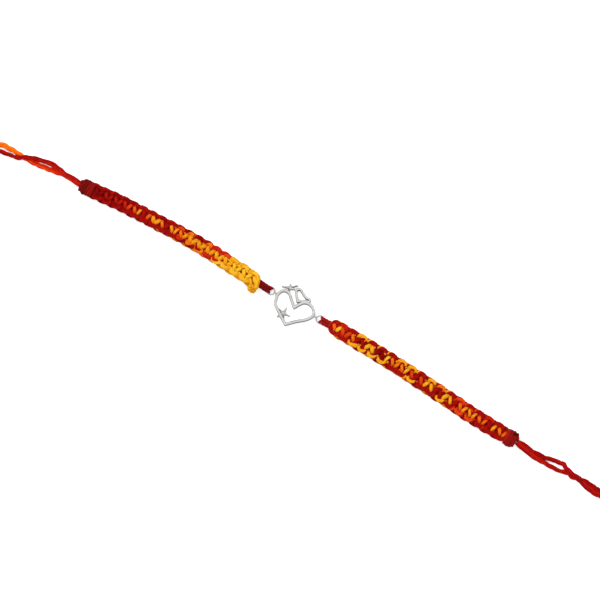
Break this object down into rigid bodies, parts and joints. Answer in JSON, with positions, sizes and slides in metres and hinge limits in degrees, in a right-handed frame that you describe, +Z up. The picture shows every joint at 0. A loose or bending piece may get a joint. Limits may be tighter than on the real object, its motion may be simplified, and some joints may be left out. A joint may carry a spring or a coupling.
{
  "type": "rakhi thread bracelet",
  "caption": "Open tie-on bracelet with a silver openwork heart charm between knotted cotton bands and loose thread tails.",
  "frame": {"origin": "on the charm's flat back, at the middle of the bar under the large heart's cleft", "axes": "+X along the bracelet to its right end, +Y towards the tops of the heart's lobes, +Z up from the surface it lies on"},
  "size_m": [0.2331, 0.0131, 0.003],
  "materials": {
    "silver": "polished cast silver",
    "mauli_thread": "space-dyed cotton yarn in deep red, bright red, orange and golden yellow",
    "maroon_thread": "dark maroon cotton core thread",
    "plum_thread": "dark plum cotton thread",
    "yellow_thread": "golden yellow cotton yarn",
    "tail_thread": "crimson cotton yarn with orange stretches"
  },
  "bodies": {
    "root": {"silver_charm": "silver", "left_core_loop": "maroon_thread", "right_core_loop": "maroon_thread", "left_band": "mauli_thread", "right_band": "mauli_thread", "left_end_wrap": "plum_thread", "right_end_wrap": "plum_thread", "left_knot_tuft": "yellow_thread", "right_cord_stub": "plum_thread", "left_tail": "tail_thread", "right_tail": "tail_thread"}
  },
  "joints": []
}
